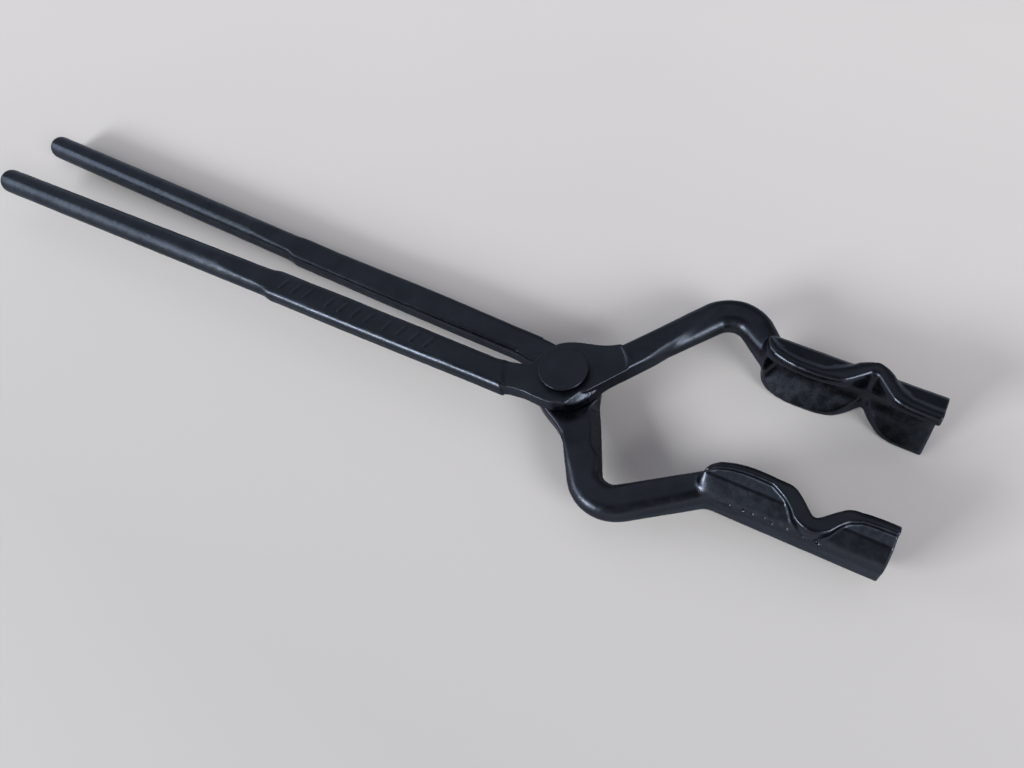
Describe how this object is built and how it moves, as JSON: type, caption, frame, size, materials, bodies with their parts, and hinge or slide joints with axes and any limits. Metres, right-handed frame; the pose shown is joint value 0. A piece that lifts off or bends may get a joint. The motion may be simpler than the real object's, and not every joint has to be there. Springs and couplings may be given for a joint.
{
  "type": "blacksmith tongs",
  "caption": "Forged wolf-jaw blacksmith's tongs: long round reins, a riveted cross-over boss, bowed arms and channelled jaws with cross notches.",
  "frame": {"origin": "on the rivet's axis, midway between the two bosses", "axes": "+X runs from the rivet towards the jaws, +Z runs along the rivet towards its round head, +Y towards the jaw of the upper half"},
  "size_m": [0.4035, 0.0874, 0.024],
  "materials": {
    "black_forging": "satin to semi-gloss black coating over forged steel, matte on the boss",
    "black_rivet": "matte black, with bare metal showing on its rim"
  },
  "bodies": {
    "lower": {"lower_half": "black_forging", "rivet": "black_rivet"},
    "upper": {"upper_half": "black_forging"}
  },
  "joints": [
    {"name": "rivet_pivot", "type": "hinge", "parent": "lower", "child": "upper", "pos_m": [0, 0, 0], "axis": [0, 0, 1], "range_deg": [-17, 55]}
  ]
}
